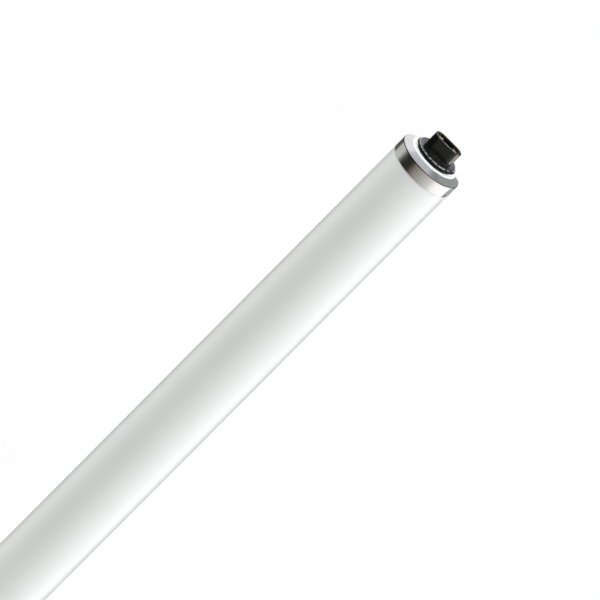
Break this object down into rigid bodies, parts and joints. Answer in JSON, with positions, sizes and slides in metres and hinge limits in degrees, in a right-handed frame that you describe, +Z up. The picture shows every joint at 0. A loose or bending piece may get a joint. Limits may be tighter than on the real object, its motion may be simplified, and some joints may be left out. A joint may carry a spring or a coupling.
{
  "type": "fluorescent tube",
  "caption": "Straight fluorescent tube: white coated glass, metal end caps and black oblong bosses with recessed brass contacts that push into sprung lampholders.",
  "frame": {"origin": "middle of the lamp on its axis", "axes": "+X along the lamp to the end in the picture (end a), long side of each boss along Y, Z up"},
  "size_m": [0.5526, 0.0384, 0.0384],
  "materials": {
    "coated_glass": "clear gloss over a white coating on the inside",
    "cap_metal": "bright drawn sheet",
    "moulded_black": "glossy moulding",
    "contact_brass": "plain strip",
    "lead_wire": "drawn wire"
  },
  "bodies": {
    "root": {"glass_bulb": "coated_glass", "cap_shell_a": "cap_metal", "base_insulator_a": "moulded_black", "contact_1_a": "contact_brass", "contact_2_a": "contact_brass", "lead_wire_1_a": "lead_wire", "lead_wire_2_a": "lead_wire", "cap_shell_b": "cap_metal", "base_insulator_b": "moulded_black", "contact_1_b": "contact_brass", "contact_2_b": "contact_brass", "lead_wire_1_b": "lead_wire", "lead_wire_2_b": "lead_wire"}
  },
  "joints": []
}
